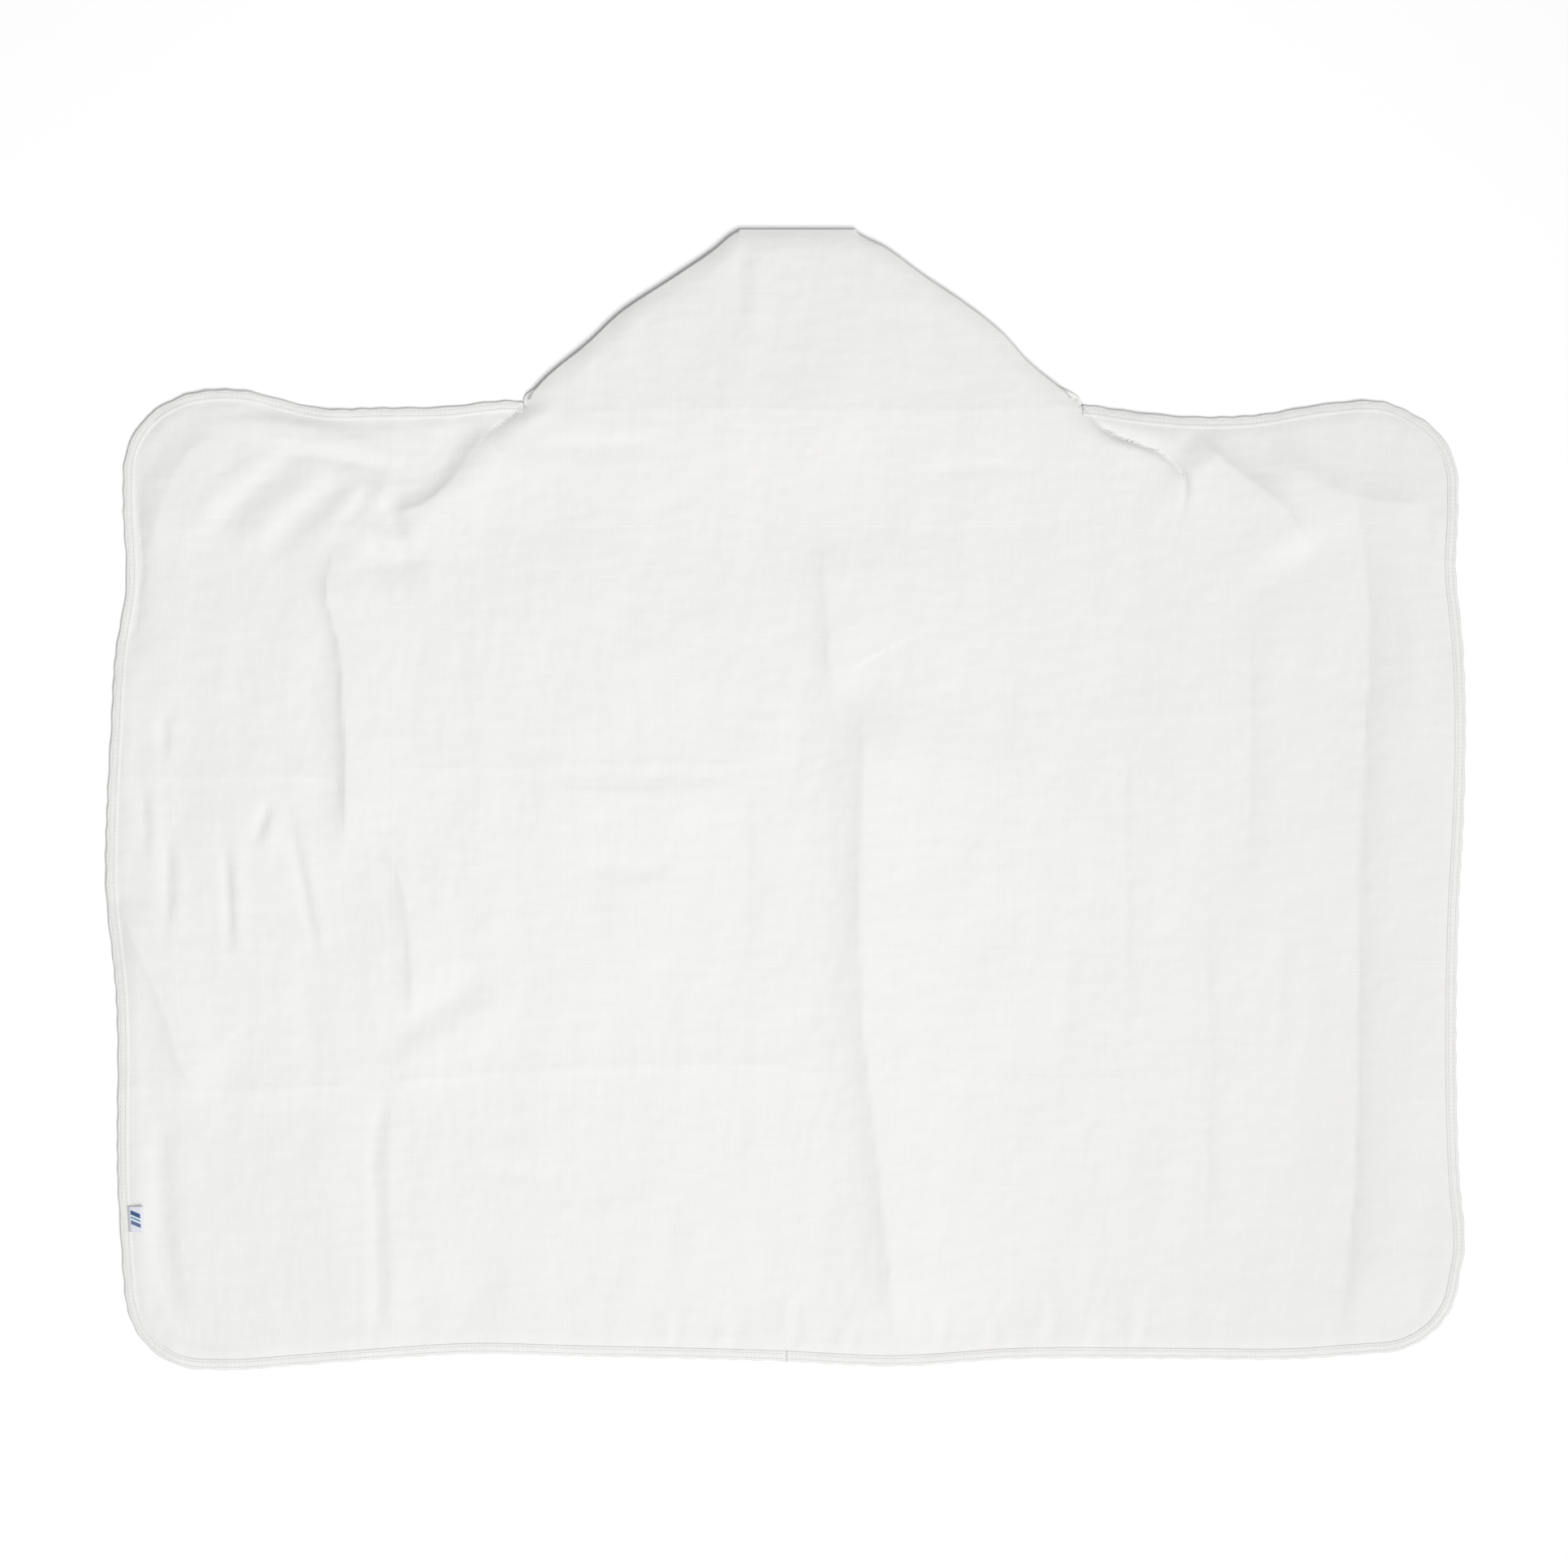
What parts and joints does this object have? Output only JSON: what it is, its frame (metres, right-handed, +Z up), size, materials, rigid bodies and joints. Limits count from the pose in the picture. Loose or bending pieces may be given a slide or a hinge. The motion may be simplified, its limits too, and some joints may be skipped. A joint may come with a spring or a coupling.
{
  "type": "hooded baby towel",
  "caption": "Hooded baby towel of double gauze muslin over a terry lining, laid flat, with a flat hood pocket, folding side wings, a bound edge and a side label.",
  "frame": {"origin": "centre of the towel's bounding box on the surface it lies on", "axes": "+X across the towel, +Y from the hem to the hood, +Z up, away from the floor, out of the muslin back"},
  "size_m": [1.105, 0.926, 0.0139],
  "materials": {
    "muslin": "matte",
    "terry": "matte",
    "binding": "matte",
    "thread": "matte",
    "label": "matte"
  },
  "bodies": {
    "centre": {"centre_back_muslin": "muslin", "centre_lining_terry": "terry", "hem_binding": "binding", "hem_outer_stitching": "thread", "hem_inner_stitching": "thread", "top_left_binding": "binding", "top_left_outer_stitching": "thread", "top_left_inner_stitching": "thread", "top_right_binding": "binding", "top_right_outer_stitching": "thread", "top_right_inner_stitching": "thread"},
    "left_wing": {"left_wing_back_muslin": "muslin", "left_wing_lining_terry": "terry", "left_wing_binding": "binding", "left_wing_outer_stitching": "thread", "left_wing_inner_stitching": "thread"},
    "right_wing": {"right_wing_back_muslin": "muslin", "right_wing_lining_terry": "terry", "right_wing_binding": "binding", "right_wing_outer_stitching": "thread", "right_wing_inner_stitching": "thread"},
    "hood": {"hood_back_muslin": "muslin", "hood_back_terry": "terry", "hood_left_seam_allowance": "muslin", "hood_right_seam_allowance": "muslin", "hood_top_seam_allowance": "muslin", "hood_front_muslin": "muslin", "hood_front_terry": "terry", "hood_opening_binding": "binding", "hood_opening_stitching": "thread"},
    "label": {"side_label": "label"}
  },
  "joints": [
    {"name": "left_wing_fold", "type": "hinge", "parent": "centre", "child": "left_wing", "pos_m": [-0.2825, 0, 0.0105], "axis": [0, 1, 0], "range_deg": [0, 180]},
    {"name": "right_wing_fold", "type": "hinge", "parent": "centre", "child": "right_wing", "pos_m": [0.2825, 0, 0.0105], "axis": [0, -1, 0], "range_deg": [0, 180]},
    {"name": "hood_fold", "type": "hinge", "parent": "centre", "child": "hood", "pos_m": [0.014, 0.32, 0.0182], "axis": [1, 0, 0], "range_deg": [0, 180]},
    {"name": "label_flip", "type": "hinge", "parent": "left_wing", "child": "label", "pos_m": [-0.538, -0.341, 0.0063], "axis": [0, -1, 0], "range_deg": [0, 170]}
  ]
}
